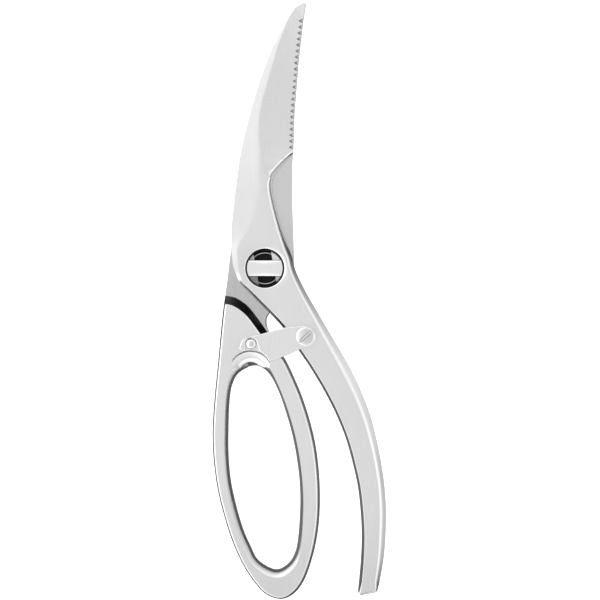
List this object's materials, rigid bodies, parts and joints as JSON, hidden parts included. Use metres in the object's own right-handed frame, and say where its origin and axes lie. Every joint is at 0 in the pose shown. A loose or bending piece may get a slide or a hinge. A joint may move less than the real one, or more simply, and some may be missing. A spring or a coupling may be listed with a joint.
{
  "type": "poultry shears",
  "caption": "Latched take-apart poultry shears of forged steel, with a serrated front blade, a bone notch, a ring handle and an open handle on a sprung pivot.",
  "frame": {"origin": "on the pivot axis, in the plane of the rear faces that the shears lie on", "axes": "+Z out of the front face along the pivot axis, +Y towards the blade tips, +X towards the open handle"},
  "size_m": [0.0697, 0.2396, 0.0119],
  "materials": {
    "satin_steel": "satin forged stainless steel",
    "polished_steel": "polished stainless steel",
    "brushed_steel": "finely brushed stainless sheet",
    "spring_steel": "drawn spring steel wire",
    "black_plastic": "matt black bearing plastic"
  },
  "bodies": {
    "ring_body": {"ring_half": "satin_steel", "pivot_stud": "polished_steel", "pivot_nut": "polished_steel", "bearing_cup": "black_plastic", "torsion_spring": "spring_steel", "latch_pin": "polished_steel"},
    "open_body": {"open_half": "satin_steel", "latch_screw": "polished_steel", "latch_washer": "spring_steel"},
    "latch_body": {"latch_strap": "brushed_steel"}
  },
  "joints": [
    {"name": "blade_pivot", "type": "hinge", "parent": "ring_body", "child": "open_body", "pos_m": [0, 0, 0.0046], "axis": [0, 0, 1], "range_deg": [0, 80], "deforming": ["torsion_spring"]},
    {"name": "latch_swing", "type": "hinge", "parent": "open_body", "child": "latch_body", "pos_m": [0.0163, -0.0273, 0.0101], "axis": [0, 0, -1], "range_deg": [0, 50]}
  ]
}
